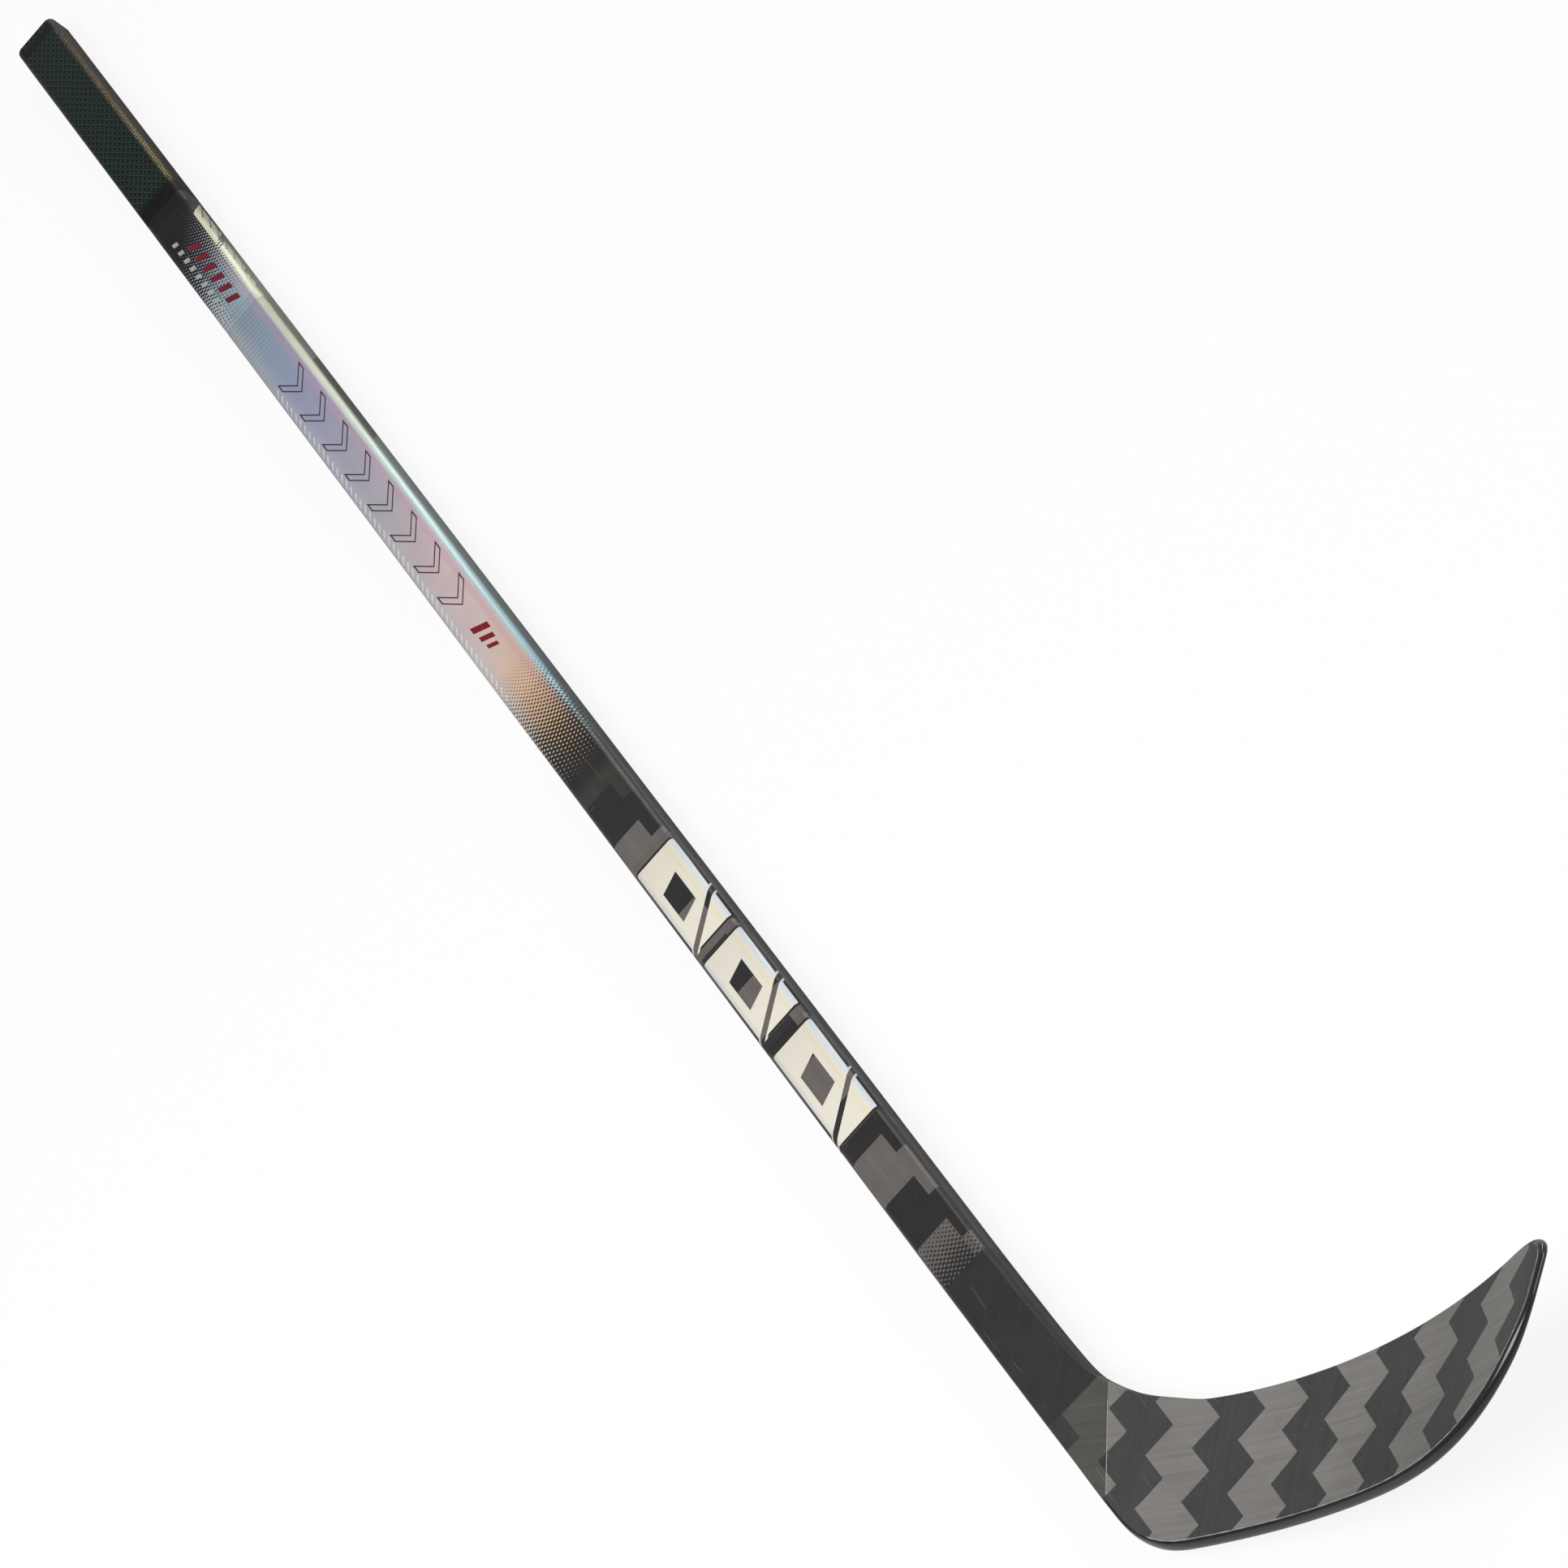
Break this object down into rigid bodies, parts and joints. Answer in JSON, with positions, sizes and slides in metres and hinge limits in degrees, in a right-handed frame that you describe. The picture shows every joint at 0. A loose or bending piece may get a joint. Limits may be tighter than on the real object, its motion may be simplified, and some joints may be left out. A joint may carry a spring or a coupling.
{
  "type": "ice hockey stick",
  "caption": "Left-handed composite ice hockey stick with a hollow rectangular shaft, a curved laminated blade and a pull-out end cap.",
  "frame": {"origin": "centre of the shaft's back face at half the stick's length", "axes": "+X along the shaft from butt to heel, +Y towards the toe side, +Z towards the forehand face"},
  "size_m": [1.6733, 0.2442, 0.0888],
  "materials": {
    "cap_rubber": "matt moulded cap",
    "shaft_carbon": "satin black carbon laminate",
    "inner_carbon": "bare inner carbon ply",
    "grip_film": "tacky textured film",
    "motif_print": "pale printed band",
    "foil": "iridescent metallic foil",
    "block_print": "off-white printed blocks",
    "adhesive": "cured epoxy",
    "core_foam": "rigid structural foam",
    "hosel_carbon": "satin carbon wrap with stepped plies",
    "rim_resin": "glossy resin-rich carbon rim",
    "blade_fabric": "satin spread-tow carbon in zigzag stripes"
  },
  "bodies": {
    "stick": {"shaft_tube": "shaft_carbon", "shaft_liner": "inner_carbon", "grip_film": "grip_film", "motif_decal": "motif_print", "foil_wrap": "foil", "block_decal_upper": "block_print", "block_decal_middle": "block_print", "block_decal_lower": "block_print", "tenon_bond": "adhesive", "blade_tenon": "core_foam", "hosel_wrap": "hosel_carbon", "hosel_core": "core_foam", "sole_rim": "rim_resin", "top_rim": "rim_resin", "forehand_skin": "blade_fabric", "backhand_skin": "blade_fabric", "foam_core_lower": "core_foam", "foam_core_middle": "core_foam", "foam_core_upper": "core_foam", "rib_lower": "inner_carbon", "rib_upper": "inner_carbon", "toe_cap": "rim_resin"},
    "cap": {"end_cap": "cap_rubber"}
  },
  "joints": [
    {"name": "end_cap_pull", "type": "slide", "parent": "stick", "child": "cap", "axis": [-1, 0, 0], "range_m": [0, 0.07]}
  ]
}
